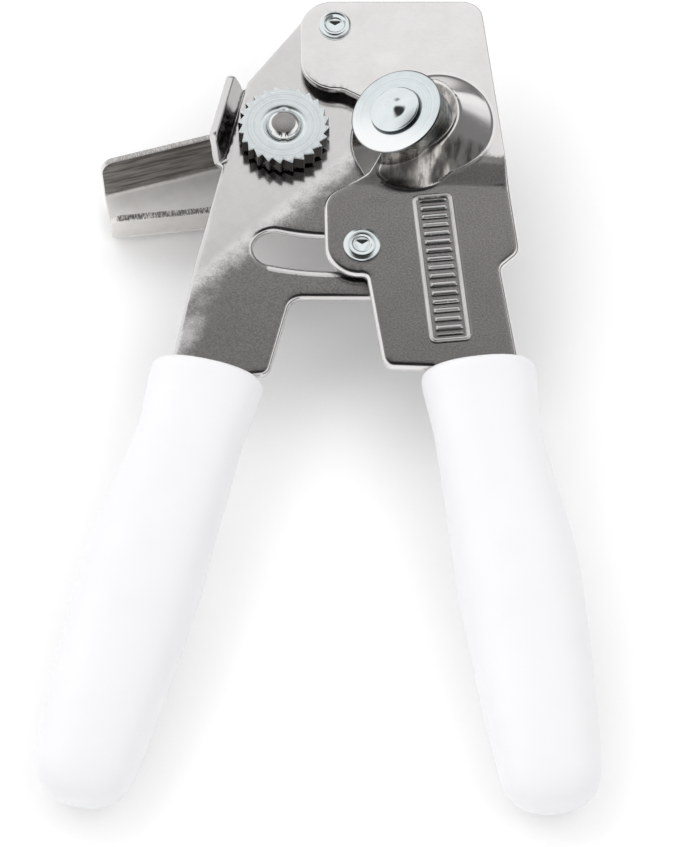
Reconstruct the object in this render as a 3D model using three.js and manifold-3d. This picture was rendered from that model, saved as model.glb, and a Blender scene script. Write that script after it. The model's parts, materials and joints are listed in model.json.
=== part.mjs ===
// Manual can opener: two riveted steel levers with moulded grips, a toothed feed
// wheel turned by a folded crank, and a tilted cutter wheel on a drawn boss.
//
// Everything is modelled in the tool frame: origin on the main pivot's axis at the
// rear lever's front face, X to the right, Y towards the head, Z towards the cutter
// side. The tool frame is then tilted into the stance in which the opener lies on a
// table, resting on its crank and the ends of both grips. Millimetres.

import * as THREE from 'three';
import { mergeVertices } from 'three/addons/utils/BufferGeometryUtils.js';
import Module from 'manifold-3d';

const wasm = await Module();
wasm.setup();

// ---------------------------------------------------------------- driving dimensions
const SHEET = 1.6; // thickness of both levers
const GAP = 0.3; // clearance kept between pieces that touch
const HEAD_BACK = 2.0; // back of the front lever's head above the rear lever
const HANDLE_BACK = 1.1; // back of the front lever's handle above the rear lever
const STEP_Y = -34; // where the front lever steps from head to handle

const PIVOT_HOLE = 2.6;
const GUIDE = { x: 5.5, y: -53.2 }; // guide rivet on the front lever
const SLOT = { radius: Math.hypot(5.5, 53.2), halfWidth: 3.9, from: -13.7, to: 6.3 };

const FEED = { x: -10.5, y: -25.2, tip: 9.4, root: 8.45, teeth: 24, back: 0.9, front: 4.4 };
const SHAFT_R = 3.5;

const CUTTER = { x: 12.45, y: -25, z: 9, radius: 9.8, tilt: 22 };
const PAD_DEPTH = 3.5; // boss pad below the cutter's front face, along its axis

const CRANK = {
  turn: 11.2, half: 38, centreHalf: 9, tipHalf: 5.7, back: -20.3, sheet: 1.3, wall: 11.1, splay: 10,
};

const GRIP_LENGTH = 93.3;
const GRIP_SWELL = 1.35; // how far the belly stands outwards of the axis
const RIGHT_GRIP = { x: 28.2, y: -80.9, z: 0.9, lean: 7.0, swell: GRIP_SWELL };
const LEFT_GRIP = { x: -24.9, y: -80.9, z: -0.5, lean: -11.9, swell: -GRIP_SWELL };

const STANCE = { skew: 11.2, pitch: 5.93 }; // tilt of the tool lying on a table

// Outline corners are [x, y, fillet radius], anticlockwise.
const REAR_OUTLINE = [
  [7.5, 23.7, 7.5], // round nose about the pivot
  [-18.4, -12.5, 2.5],
  [-28.2, -55, 0],
  [-32.7, -80, 0],
  [-45.6, -157, 3.5], // end of the tang
  [-36.8, -159, 3.5],
  [-17.4, -81.8, 0.8],
  [-13, -81.3, 2.2], // shoulder at the grip
  [-8.7, -63.9, 3],
  [14, -64, 5], // strip below the slot
  [14, -43.5, 3],
  [8.6, -38.9, 2.5],
  [2, -26.8, 13.9], // relief beside the cutter
  [7.5, -14.6, 6],
];
const FRONT_OUTLINE = [
  [-7.2, 6.3, 6.7],
  [-7.1, -15.7, 7.4],
  [1.6, -15.9, 4],
  [15.4, -23.7, 11.3], // relief round the feed wheel
  [6.6, -35.9, 3],
  [-2.3, -41.2, 5],
  [-1.9, -60.1, 7], // lobe round the guide rivet
  [6.3, -60, 1.2],
  [9.6, -81, 2.6], // shoulder at the grip
  [19.5, -81.4, 0.8],
  [34.8, -158.6, 3.5], // end of the tang
  [43.4, -157.4, 3.5],
  [36.5, -80, 0],
  [33.4, -58.2, 2.2],
  [37.4, -54.5, 3.2],
  [30.6, 6.3, 4.3],
];

// Grip half width at distances from its top edge.
const GRIP_STATIONS = [
  [0.6, 11.1], [2.2, 11.35], [13.4, 10.5], [28, 11.1], [44.6, 11.95],
  [63.8, 11.2], [84, 9.8], [89.6, 8.2], [92.5, 4.9],
];

const chrome = new THREE.MeshStandardMaterial({ color: 0xc6c3bf, roughness: 0.25, metalness: 1 });
const polished = new THREE.MeshStandardMaterial({ color: 0xd6d5d2, roughness: 0.12, metalness: 1 });
const zinc = new THREE.MeshStandardMaterial({ color: 0xcfd8dc, roughness: 0.35, metalness: 1 });
const whiteVinyl = new THREE.MeshStandardMaterial({ color: 0xf6f7f8, roughness: 0.5, metalness: 0 });

// ---------------------------------------------------------------- geometry helpers
const radians = THREE.MathUtils.degToRad;

// A closed outline with tangent arcs of the given radii at its corners, in steps of
// about 12 degrees. A radius of 0 leaves a plain corner.
function outline(corners) {
  const points = corners.flatMap(([x, y, radius], i) => {
    const corner = new THREE.Vector2(x, y);
    if (radius === 0) return [corner];
    const [px, py] = corners.at(i - 1);
    const [nx, ny] = corners[(i + 1) % corners.length];
    const back = new THREE.Vector2(px, py).sub(corner).normalize();
    const ahead = new THREE.Vector2(nx, ny).sub(corner).normalize();
    const half = Math.acos(back.dot(ahead)) / 2;
    const middle = back.clone().add(ahead).normalize();
    const centre = corner.clone().addScaledVector(middle, radius / Math.sin(half));
    const start = corner.clone().addScaledVector(back, radius / Math.tan(half)).sub(centre);
    const end = corner.clone().addScaledVector(ahead, radius / Math.tan(half)).sub(centre);
    const turn = Math.atan2(start.cross(end), start.dot(end));
    const steps = Math.max(1, Math.round(Math.abs(turn) / radians(12)));
    return Array.from({ length: steps + 1 }, (_, step) => (
      start.clone().rotateAround(new THREE.Vector2(), (turn * step) / steps).add(centre)
    ));
  });
  return new THREE.Shape(points);
}

// Merges shared corners and drops the empty triangles that merging leaves.
function weld(geometry) {
  geometry.deleteAttribute('normal');
  geometry.deleteAttribute('uv');
  const merged = mergeVertices(geometry, 1e-4);
  const corners = merged.index.array;
  const kept = [];
  for (let i = 0; i < corners.length; i += 3) {
    const [a, b, c] = corners.slice(i, i + 3);
    if (a !== b && b !== c && c !== a) kept.push(a, b, c);
  }
  merged.setIndex(kept);
  return merged;
}

function solid(geometry) {
  const welded = weld(geometry);
  return new wasm.Manifold(new wasm.Mesh({
    numProp: 3,
    vertProperties: Float32Array.from(welded.attributes.position.array),
    triVerts: Uint32Array.from(welded.index.array),
  }));
}

function surface(body) {
  const { vertProperties, triVerts } = body.getMesh();
  const geometry = new THREE.BufferGeometry();
  geometry.setAttribute('position', new THREE.BufferAttribute(vertProperties, 3));
  geometry.setIndex(new THREE.BufferAttribute(triVerts, 1));
  geometry.computeVertexNormals();
  return geometry;
}

// A flat plate between two heights.
function slab(shape, low, high, detail = 4) {
  const settings = { depth: high - low, bevelEnabled: false, curveSegments: detail };
  return new THREE.ExtrudeGeometry(shape, settings).translate(0, 0, low);
}

// A turned piece about Z from anticlockwise [radius, height] points.
function turned(profile, sides = 32) {
  const points = profile.map(([radius, height]) => new THREE.Vector2(radius, height));
  return weld(new THREE.LatheGeometry(points, sides).rotateX(Math.PI / 2));
}

// A washer or sleeve.
function ring(inner, outer, low, high, sides = 32) {
  return turned([[inner, low], [outer, low], [outer, high], [inner, high], [inner, low]], sides);
}

function rod(radius, low, high, sides = 32) {
  return turned([[0, low], [radius, low], [radius, high], [0, high]], sides);
}

function moveVertices(geometry, place) {
  const position = geometry.attributes.position;
  const point = new THREE.Vector3();
  for (let i = 0; i < position.count; i += 1) {
    point.fromBufferAttribute(position, i);
    place(point);
    position.setXYZ(i, point.x, point.y, point.z);
  }
  return geometry;
}

function block(x0, x1, y0, y1, z0, z1) {
  const box = new THREE.BoxGeometry(x1 - x0, y1 - y0, z1 - z0);
  return box.translate((x0 + x1) / 2, (y0 + y1) / 2, (z0 + z1) / 2);
}

// ---------------------------------------------------------------- the assembly
const tool = new THREE.Group();

function piece(name, geometry, material, holder = tool) {
  const mesh = new THREE.Mesh(geometry, material);
  mesh.name = name;
  holder.add(mesh);
  return mesh;
}

// The cutter's own frame: its front face at z = 0, its axis along Z.
const cutterFrame = new THREE.Group();
cutterFrame.position.set(CUTTER.x, CUTTER.y, CUTTER.z);
cutterFrame.rotation.y = -radians(CUTTER.tilt);
cutterFrame.updateMatrix();
tool.add(cutterFrame);

// ---- rear lever: flat plate, arc slot, and the can guide bent up from its left edge
function slotShape() {
  const shape = new THREE.Shape();
  const { radius, halfWidth, from, to } = SLOT;
  const toArc = (degrees) => radians(degrees - 90);
  const endCap = (degrees, start) => {
    const angle = toArc(degrees);
    const turn = angle + (start ? Math.PI : 0);
    const x = radius * Math.cos(angle);
    const y = radius * Math.sin(angle);
    shape.absarc(x, y, halfWidth, turn, turn + Math.PI, false);
  };
  shape.absarc(0, 0, radius + halfWidth, toArc(from), toArc(to), false);
  endCap(to, false);
  shape.absarc(0, 0, radius - halfWidth, toArc(to), toArc(from), true);
  endCap(from, true);
  return shape;
}

// The flange's section is drawn across the bend, then cut to its rounded side view.
function canGuide() {
  const top = new THREE.Vector2(-18.4, -12.5);
  const bottom = new THREE.Vector2(-23.1, -32.7);
  const length = top.distanceTo(bottom);
  const lean = radians(77);
  const inset = 0.15; // the flange is thinned by its bend, and its root lies inside the plate
  const bend = { x: -0.9, z: 1, inner: 1 + inset };
  const outer = 1 + SHEET - inset;
  const height = 7;
  const section = new THREE.Shape();
  const inward = new THREE.Vector2(Math.cos(lean - Math.PI / 2), Math.sin(lean - Math.PI / 2));
  const along = new THREE.Vector2(Math.cos(lean), Math.sin(lean));
  const reach = (height - bend.z - outer * inward.y) / along.y;
  section.moveTo(bend.x - 2, -SHEET + inset);
  section.absarc(bend.x, bend.z, outer, -Math.PI / 2, lean - Math.PI / 2, false);
  section.lineTo(bend.x + outer * inward.x + reach * along.x, bend.z + outer * inward.y + reach * along.y);
  section.lineTo(
    bend.x + bend.inner * inward.x + reach * along.x,
    bend.z + bend.inner * inward.y + reach * along.y,
  );
  section.absarc(bend.x, bend.z, bend.inner, lean - Math.PI / 2, -Math.PI / 2, true);
  section.lineTo(bend.x - 2, -inset);
  const strip = new THREE.ExtrudeGeometry(section, { depth: length, bevelEnabled: false, curveSegments: 5 });
  const sideView = outline([
    [0.4, -2, 0.3], [length - 0.4, -2, 0.3], [length - 0.4, 1.2, 2], [length - 2.2, 7.4, 1.8],
    [2.2, 7.4, 1.8], [0.4, 1.2, 2],
  ]);
  const trim = new THREE.ExtrudeGeometry(sideView, { depth: 12, bevelEnabled: false, curveSegments: 4 });
  // Section frame: x outwards, y up, z along the edge. Side view frame: x along, y up.
  trim.applyMatrix4(new THREE.Matrix4().makeBasis(
    new THREE.Vector3(0, 0, 1), new THREE.Vector3(0, 1, 0), new THREE.Vector3(-1, 0, 0),
  ).setPosition(7, 0, 0));
  const flange = surface(solid(strip).intersect(solid(trim)));
  const edge = top.clone().sub(bottom).normalize();
  return flange.applyMatrix4(new THREE.Matrix4().makeBasis(
    new THREE.Vector3(-edge.y, edge.x, 0), new THREE.Vector3(0, 0, 1), new THREE.Vector3(edge.x, edge.y, 0),
  ).setPosition(bottom.x, bottom.y, 0));
}

function rearLever() {
  const pivotHole = rod(PIVOT_HOLE, -3, 2);
  const bushHole = rod(5.3, -3, 2).translate(FEED.x, FEED.y, 0);
  return solid(slab(outline(REAR_OUTLINE), -SHEET, 0))
    .add(solid(canGuide()))
    .subtract(solid(slab(slotShape(), -3, 2, 8)))
    .subtract(solid(pivotHole))
    .subtract(solid(bushHole));
}
piece('rear_lever_plate', surface(rearLever()), chrome);

// ---- front lever: stepped plate with a drawn boss that carries the cutter
// A skew frustum from a base ellipse up to the tilted pad.
function bossBody(baseX, baseY, baseRx, baseRy, baseZ, padLong, padWide, padDrop) {
  const tilt = radians(CUTTER.tilt);
  const axis = new THREE.Vector3(-Math.sin(tilt), 0, Math.cos(tilt));
  const slope = new THREE.Vector3(Math.cos(tilt), 0, Math.sin(tilt));
  const padCentre = new THREE.Vector3(CUTTER.x, CUTTER.y, CUTTER.z)
    .addScaledVector(axis, -PAD_DEPTH - padDrop)
    .addScaledVector(slope, 3.2);
  return moveVertices(turned([[0, 0], [1, 0], [1, 1], [0, 1]], 48), (point) => {
    const { x, y, z } = point;
    if (z < 0.5) point.set(baseX + x * baseRx, baseY + y * baseRy, baseZ);
    else point.copy(padCentre).addScaledVector(slope, x * padLong).add(new THREE.Vector3(0, y * padWide, 0));
  });
}

function frontLever() {
  const shape = outline(FRONT_OUTLINE);
  const head = solid(slab(shape, HEAD_BACK, HEAD_BACK + SHEET))
    .intersect(solid(block(-60, 60, STEP_Y - 0.6, 30, -5, 20)));
  const handle = solid(slab(shape, HANDLE_BACK, HANDLE_BACK + SHEET))
    .intersect(solid(block(-60, 60, -200, STEP_Y + 0.6, -5, 20)));
  const wholeHeight = solid(slab(shape, -3, 20));
  const wall = SHEET + 0.2;
  const outer = solid(bossBody(21.6, -24.3, 11.2, 11.8, HANDLE_BACK + 0.6, 9.1, 8.5, 0))
    .add(solid(bossBody(15.2, -28.8, 11.3, 11.3, HANDLE_BACK + 0.6, 9.1, 8.5, 0)));
  const inner = solid(bossBody(21.6, -24.3, 11.2 - wall, 11.8 - wall, 0, 7.3, 6.7, SHEET))
    .add(solid(bossBody(15.2, -28.8, 11.3 - wall, 11.3 - wall, 0, 7.3, 6.7, SHEET)));
  const cutterHole = rod(2.9, -14, 4).applyMatrix4(cutterFrame.matrix);
  const guideHole = rod(2.9, -3, 6).translate(GUIDE.x, GUIDE.y, 0);
  return head.add(handle)
    .add(outer.intersect(wholeHeight))
    .subtract(inner)
    .subtract(solid(cutterHole))
    .subtract(solid(rod(PIVOT_HOLE, -3, 6)))
    .subtract(solid(guideHole));
}
piece('front_lever_plate', surface(frontLever()), chrome);

// ---- main pivot
piece('pivot_spacer', ring(PIVOT_HOLE, 5.6, GAP, HEAD_BACK - GAP), zinc);
piece('pivot_rivet', turned([
  [0, -3.1], [2.2, -3.1], [3.5, -2.5], [3.5, -SHEET - GAP], [2.3, -SHEET - GAP],
  [2.3, HEAD_BACK + SHEET + GAP], [3.35, HEAD_BACK + SHEET + GAP], [3.35, 4.5], [2.8, 5], [1.9, 5.05],
  [1.3, 4.3], [0, 4],
]), zinc);

// ---- guide rivet: it rides in the arc slot and stops the levers at both ends
function atGuide(geometry) {
  return geometry.translate(GUIDE.x, GUIDE.y, 0);
}
piece('guide_spacer', atGuide(ring(2.9, 5.2, GAP, HANDLE_BACK - GAP)), zinc);
piece('guide_bush', atGuide(ring(2.9, 3.6, -SHEET - GAP, 0)), zinc);
piece('guide_rear_washer', atGuide(ring(2.9, 5.6, -SHEET - 3 * GAP - 0.2, -SHEET - 2 * GAP + 0.2)), zinc);
piece('guide_rivet', atGuide(turned([
  [0, -4.1], [2.6, -4.1], [3.9, -3.5], [3.9, -3], [2.6, -3], [2.6, 3], [3.9, 3], [3.9, 3.5], [3.2, 4.1],
  [2.1, 4.2], [1.3, 3.6], [0, 3.4],
])), zinc);

// ---- cutter wheel with its shoulder rivet and spring washer
piece('cutter_wheel', turned([
  [2.9, -2.4], [6, -2.4], [CUTTER.radius, -0.3], [CUTTER.radius, -0.12], [CUTTER.radius - 0.25, 0],
  [2.9, 0], [2.9, -2.4],
], 56), zinc, cutterFrame);
piece('cutter_spring_washer', ring(2.9, 5.4, -3.2, -2.7), zinc, cutterFrame);
piece('cutter_rivet', turned([
  [0, -6.7], [2.9, -6.7], [3.9, -6.1], [3.9, -5.4], [2.6, -5.4], [2.6, GAP], [5.25, GAP], [5.25, 0.7],
  [4.6, 1.25], [3.4, 1.65], [1.8, 1.85], [0, 1.9],
], 40), polished, cutterFrame);

// ---- drive train on the rear lever
function atFeed(geometry) {
  return geometry.translate(FEED.x, FEED.y, 0);
}

// Saw teeth: a long rising flank, then a steep drop.
function feedWheel() {
  const shape = new THREE.Shape();
  const pitch = (2 * Math.PI) / FEED.teeth;
  const teeth = Array.from({ length: FEED.teeth }, (_, i) => i * pitch);
  const points = teeth.flatMap((angle) => [
    [FEED.root, angle], [FEED.tip, angle + pitch * 0.72], [FEED.tip, angle + pitch * 0.8],
    [FEED.root, angle + pitch * 0.97],
  ]);
  points.forEach(([radius, angle], i) => {
    const x = radius * Math.cos(angle);
    const y = radius * Math.sin(angle);
    if (i === 0) shape.moveTo(x, y);
    else shape.lineTo(x, y);
  });
  const bore = turned([
    [0, 0], [SHAFT_R + GAP, 0], [SHAFT_R + GAP, FEED.front - 0.6], [4.5, FEED.front],
    [4.5, 6], [0, 6],
  ]);
  return solid(slab(shape, FEED.back, FEED.front)).subtract(solid(bore));
}
piece('feed_wheel', atFeed(surface(feedWheel())), zinc);
piece('feed_thrust_washer', atFeed(ring(SHAFT_R + GAP, 6.4, 0.25, 0.65)), zinc);
piece('shaft_bushing', atFeed(turned([
  [3.8, -10], [5, -10], [5, -3.2], [7, -3.2], [7, -1.9], [5, -1.9], [5, -0.05], [3.8, -0.05], [3.8, -10],
])), zinc);

const WEB_FRONT = CRANK.back + CRANK.sheet;
const TENON = 2.6; // half of the square tenon that drives the crank
function driveShaft() {
  const barrel = turned([
    [0, WEB_FRONT + GAP], [SHAFT_R, WEB_FRONT + GAP], [SHAFT_R, 4.2], [2.3, 5.1], [0, 5.1],
  ]);
  const tenon = block(-TENON, TENON, -TENON, TENON, CRANK.back - 1, WEB_FRONT + 1)
    .rotateZ(radians(CRANK.turn));
  const rivetedEnd = rod(3.6, CRANK.back - 1.2, CRANK.back - GAP);
  return solid(barrel).add(solid(tenon)).add(solid(rivetedEnd));
}
piece('drive_shaft', atFeed(surface(driveShaft())), polished);
piece('crank_collar', atFeed(ring(SHAFT_R + GAP, 5.4, WEB_FRONT + GAP, -10.3)), zinc);

// The crank: a sheet folded to a splayed channel, open towards the levers, widest
// at the shaft and tapered to both ends.
function crank() {
  const { half, centreHalf, tipHalf, back, sheet, wall, splay } = CRANK;
  const lean = Math.tan(radians(splay));
  const top = back + wall;
  const section = outline([
    [-centreHalf, back, 1.8],
    [centreHalf, back, 1.8],
    [centreHalf + wall * lean, top, 0.2],
    [centreHalf + wall * lean - sheet, top, 0.2],
    [centreHalf - sheet + sheet * lean, back + sheet, 0.9],
    [-centreHalf + sheet - sheet * lean, back + sheet, 0.9],
    [-centreHalf - wall * lean + sheet, top, 0.2],
    [-centreHalf - wall * lean, top, 0.2],
  ]);
  const channel = new THREE.ExtrudeGeometry(section, {
    depth: 2 * half, bevelEnabled: false, curveSegments: 2, steps: 12,
  });
  // Section frame: x across, y up, z along. It is laid along X and narrowed to the ends.
  channel.applyMatrix4(new THREE.Matrix4().makeBasis(
    new THREE.Vector3(0, 1, 0), new THREE.Vector3(0, 0, 1), new THREE.Vector3(1, 0, 0),
  ).setPosition(-half, 0, 0));
  moveVertices(channel, (point) => {
    const narrowing = (centreHalf - tipHalf) * (Math.abs(point.x) / half);
    point.y -= Math.sign(point.y) * Math.min(narrowing, Math.abs(point.y));
  });
  const sideView = outline([
    [-half, back - 1, 0.5], [half, back - 1, 0.5], [half, top + 0.02, 3], [-half, top + 0.02, 3],
  ]);
  const ends = new THREE.ExtrudeGeometry(sideView, { depth: 40, bevelEnabled: false, curveSegments: 4 })
    .rotateX(Math.PI / 2)
    .translate(0, 20, 0);
  const hole = block(-TENON - GAP, TENON + GAP, -TENON - GAP, TENON + GAP, back - 1, back + 3);
  return solid(channel).intersect(solid(ends)).subtract(solid(hole));
}
piece('crank', atFeed(surface(crank()).rotateZ(radians(CRANK.turn))), chrome);

// ---- grips: closed sleeves over the tangs of the two levers
function grip({ x, y, z, lean, swell }, corners, low) {
  const stations = GRIP_STATIONS.map(([distance, half]) => new THREE.Vector2(half, -distance));
  const side = new THREE.SplineCurve(stations).getPoints(20).reverse();
  const profile = [[0, -GRIP_LENGTH], ...side.map((point) => [point.x, point.y]), [10.6, 0], [0, 0]];
  const body = moveVertices(turned(profile, 28).rotateX(-Math.PI / 2), (point) => {
    const distance = -point.y;
    const belly = THREE.MathUtils.smoothstep(distance, 12, 46);
    point.x += swell * belly;
    point.z *= 0.59 + 0.08 * (distance / 84);
  });
  body.rotateZ(radians(lean)).translate(x, y, z);
  const tang = new THREE.ExtrudeGeometry(outline(corners), {
    depth: SHEET, bevelThickness: GAP, bevelSize: GAP, bevelSegments: 1, curveSegments: 4,
  }).translate(0, 0, low);
  return solid(body).subtract(solid(tang));
}
piece('left_grip', surface(grip(LEFT_GRIP, REAR_OUTLINE, -SHEET)), whiteVinyl);
piece('right_grip', surface(grip(RIGHT_GRIP, FRONT_OUTLINE, HANDLE_BACK)), whiteVinyl);

// ---------------------------------------------------------------- stance on the table
const stance = new THREE.Group();
const stanceAxis = new THREE.Vector3(Math.cos(radians(STANCE.skew)), Math.sin(radians(STANCE.skew)), 0);
tool.quaternion.setFromAxisAngle(stanceAxis, radians(STANCE.pitch));
stance.add(tool);
stance.updateMatrixWorld(true);

// The part's origin is at the centre of its footprint, on the table.
const bounds = new THREE.Box3().setFromObject(stance, true);
const footprint = bounds.getCenter(new THREE.Vector3()).setZ(bounds.min.z);
tool.position.sub(footprint);
stance.updateMatrixWorld(true);

export default stance;
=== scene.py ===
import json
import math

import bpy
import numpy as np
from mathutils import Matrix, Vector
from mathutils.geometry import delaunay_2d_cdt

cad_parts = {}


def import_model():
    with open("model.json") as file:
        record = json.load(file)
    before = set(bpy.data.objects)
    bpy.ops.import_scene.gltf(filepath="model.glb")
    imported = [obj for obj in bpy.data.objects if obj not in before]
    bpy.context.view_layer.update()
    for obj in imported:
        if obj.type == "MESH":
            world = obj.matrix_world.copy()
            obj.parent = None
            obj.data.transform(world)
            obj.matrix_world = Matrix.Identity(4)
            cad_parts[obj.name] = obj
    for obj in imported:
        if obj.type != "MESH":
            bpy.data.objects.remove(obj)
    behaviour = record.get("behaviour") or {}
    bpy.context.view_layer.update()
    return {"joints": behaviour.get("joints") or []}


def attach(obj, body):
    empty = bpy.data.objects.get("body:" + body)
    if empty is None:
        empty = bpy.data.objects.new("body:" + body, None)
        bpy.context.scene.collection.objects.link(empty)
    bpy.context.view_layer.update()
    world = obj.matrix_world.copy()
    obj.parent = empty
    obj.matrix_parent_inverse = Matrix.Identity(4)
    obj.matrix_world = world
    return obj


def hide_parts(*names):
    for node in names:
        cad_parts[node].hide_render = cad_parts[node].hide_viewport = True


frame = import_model()

# Looks of the manual can opener. Shapes are given in millimetres in the tool frame: origin
# on the main pivot's axis at the rear lever's front face, X to the right, Y towards the
# head, Z towards the cutter side. TOOL takes them to the imported frame, in metres.
#
# Two attributes go with each mesh: spot, the place in the piece's own frame in millimetres, which
# the textures follow, and finish, which the formed sheets have. Lever finish levels: above 0 grainy,
# with a painted dark reflection; 20 to 30 matt; BRIGHT plain plating; -6 to -11 painted reflection
# streaks on the boss's walls; -12.5 to -16 a painted near-black reflection; below -17 frosted
# relief. On the crank, 1 is the inner face of its upper wall, darkened with painted shade.

# ------------------------------------------------------------------ dimensions, as in the CAD source
SHEET = 1.6
HEAD_FRONT = 3.6  # front face of the front lever's head
HANDLE_FRONT = 2.7  # front face of its handle
STEP_Y = -34
LEAN = math.radians(7)  # lean of the front lever's handle
GUIDE = (5.5, -53.2)
SLOT = {"radius": math.hypot(5.5, 53.2), "half": 3.9, "from": -13.7, "to": 6.3}
FEED = (-10.5, -25.2)
CUTTER = (12.45, -25.0, 9.0)
CUTTER_TILT = math.radians(22)
PAD = (13.76, 5.755)  # x and height of the boss pad on the cutter's axis
CRANK_TURN = math.radians(11.2)
BRIGHT = -4  # finish level of plain bright plating

REAR_OUTLINE = [
    (7.5, 23.7, 7.5), (-18.4, -12.5, 2.5), (-28.2, -55, 0), (-32.7, -80, 0), (-45.6, -157, 3.5),
    (-36.8, -159, 3.5), (-17.4, -81.8, 0.8), (-13, -81.3, 2.2), (-8.7, -63.9, 3), (14, -64, 5),
    (14, -43.5, 3), (8.6, -38.9, 2.5), (2, -26.8, 13.9), (7.5, -14.6, 6),
]
FRONT_OUTLINE = [
    (-7.2, 6.3, 6.7), (-7.1, -15.7, 7.4), (1.6, -15.9, 4), (15.4, -23.7, 11.3), (6.6, -35.9, 3),
    (-2.3, -41.2, 5), (-1.9, -60.1, 7), (6.3, -60, 1.2), (9.6, -81, 2.6), (19.5, -81.4, 0.8),
    (34.8, -158.6, 3.5), (43.4, -157.4, 3.5), (36.5, -80, 0), (33.4, -58.2, 2.2),
    (37.4, -54.5, 3.2), (30.6, 6.3, 4.3),
]


def tool_matrix():
    """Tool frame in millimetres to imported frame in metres, from the joints of the CAD model."""
    joints = {joint["name"]: joint for joint in frame["joints"]}
    pivot = Vector(joints["handle_pivot"]["pos_m"])
    up = -Vector(joints["handle_pivot"]["axis"]).normalized()
    reach = Vector(joints["crank_spin"]["pos_m"]) - pivot
    reach = (reach - up * reach.dot(up)).normalized()
    angle = math.atan2(FEED[1], FEED[0])
    right = reach * math.cos(angle) - up.cross(reach) * math.sin(angle)
    turn = Matrix((right, up.cross(right), up)).transposed().to_4x4()
    turn.translation = pivot
    return turn @ Matrix.Scale(0.001, 4)


TOOL = tool_matrix()
CUTTER_FRAME = Matrix.Translation(CUTTER) @ Matrix.Rotation(-CUTTER_TILT, 4, "Y")
FEED_FRAME = Matrix.Translation((*FEED, 0))
GUIDE_FRAME = Matrix.Translation((*GUIDE, 0))
CRANK_FRAME = FEED_FRAME @ Matrix.Rotation(CRANK_TURN, 4, "Z")


# ------------------------------------------------------------------ mesh helpers
def smoothstep(value, low, high):
    share = np.clip((value - low) / (high - low), 0, 1)
    return share * share * (3 - 2 * share)


def smooth_min(a, b, blend):
    share = np.clip(0.5 + 0.5 * (b - a) / blend, 0, 1)
    return b + (a - b) * share - blend * share * (1 - share)


def rounded(corners, step=5.0, closed=True):
    """Points of a path of (x, y, fillet radius) corners, with arcs in steps of about step degrees."""
    points = []
    for i, (x, y, radius) in enumerate(corners):
        corner = np.array((x, y), float)
        end_of_path = not closed and i in (0, len(corners) - 1)
        if radius == 0 or end_of_path:
            points.append(corner)
            continue
        back = np.array(corners[i - 1][:2], float) - corner
        ahead = np.array(corners[(i + 1) % len(corners)][:2], float) - corner
        back /= np.linalg.norm(back)
        ahead /= np.linalg.norm(ahead)
        half = math.acos(float(np.clip(back @ ahead, -1, 1))) / 2
        middle = (back + ahead) / np.linalg.norm(back + ahead)
        centre = corner + middle * radius / math.sin(half)
        start = corner + back * radius / math.tan(half) - centre
        end = corner + ahead * radius / math.tan(half) - centre
        turn = math.atan2(start[0] * end[1] - start[1] * end[0], start @ end)
        steps = max(2, round(abs(math.degrees(turn)) / step))
        for k in range(steps + 1):
            c, s = math.cos(turn * k / steps), math.sin(turn * k / steps)
            points.append(centre + (start[0] * c - start[1] * s, start[0] * s + start[1] * c))
    return np.array(points)


def resample(points, spacing):
    """Adds points on the long straight stretches of a closed loop."""
    out = []
    for a, b in zip(points, np.roll(points, -1, axis=0)):
        pieces = max(1, int(np.linalg.norm(b - a) / spacing))
        out.extend(a + (b - a) * k / pieces for k in range(pieces))
    return np.array(out)


def circle(x, y, radius, count=72):
    angles = np.arange(count) * 2 * math.pi / count
    return np.column_stack((x + radius * np.cos(angles), y + radius * np.sin(angles)))


def loop_normals(loop):
    """Mitred normals to the right of the direction of travel."""
    tangent = np.roll(loop, -1, axis=0) - loop
    tangent /= np.linalg.norm(tangent, axis=1, keepdims=True)
    side = np.column_stack((tangent[:, 1], -tangent[:, 0]))
    mitre = side + np.roll(side, 1, axis=0)
    mitre /= np.linalg.norm(mitre, axis=1, keepdims=True)
    return mitre / np.clip((mitre * side).sum(axis=1, keepdims=True), 0.6, 1)


def inside(points, loop):
    """Which points lie inside a closed loop."""
    x, y = points[:, 0, None], points[:, 1, None]
    ax, ay = loop[:, 0], loop[:, 1]
    bx, by = np.roll(ax, -1), np.roll(ay, -1)
    rise = np.where(by == ay, 1e-12, by - ay)
    crossing = ((ay > y) != (by > y)) & (x < ax + (y - ay) * (bx - ax) / rise)
    return crossing.sum(axis=1) % 2 == 1


def away(points, loop, distance):
    """Which points keep a distance from a closed loop."""
    keep = np.ones(len(points), bool)
    for a, b in zip(loop, np.roll(loop, -1, axis=0)):
        along = b - a
        share = np.clip(((points - a) @ along) / max(along @ along, 1e-12), 0, 1)
        gap = np.linalg.norm(points - a - share[:, None] * along, axis=1)
        keep &= gap > distance
    return keep


def grid(x0, x1, y0, y1, spacing):
    """Staggered points over a rectangle."""
    xs = np.arange(x0, x1, spacing)
    ys = np.arange(y0, y1, spacing * 0.87)
    px, py = np.meshgrid(xs, ys)
    px = px + (np.arange(len(ys)) % 2)[:, None] * spacing / 2
    return np.column_stack((px.ravel(), py.ravel()))


def spaced(cell, sets):
    """Sets of points in one, with at most one point in each square cell."""
    points = np.vstack(sets)
    return points[np.unique(np.round(points / cell).astype(int), axis=0, return_index=True)[1]]


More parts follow.
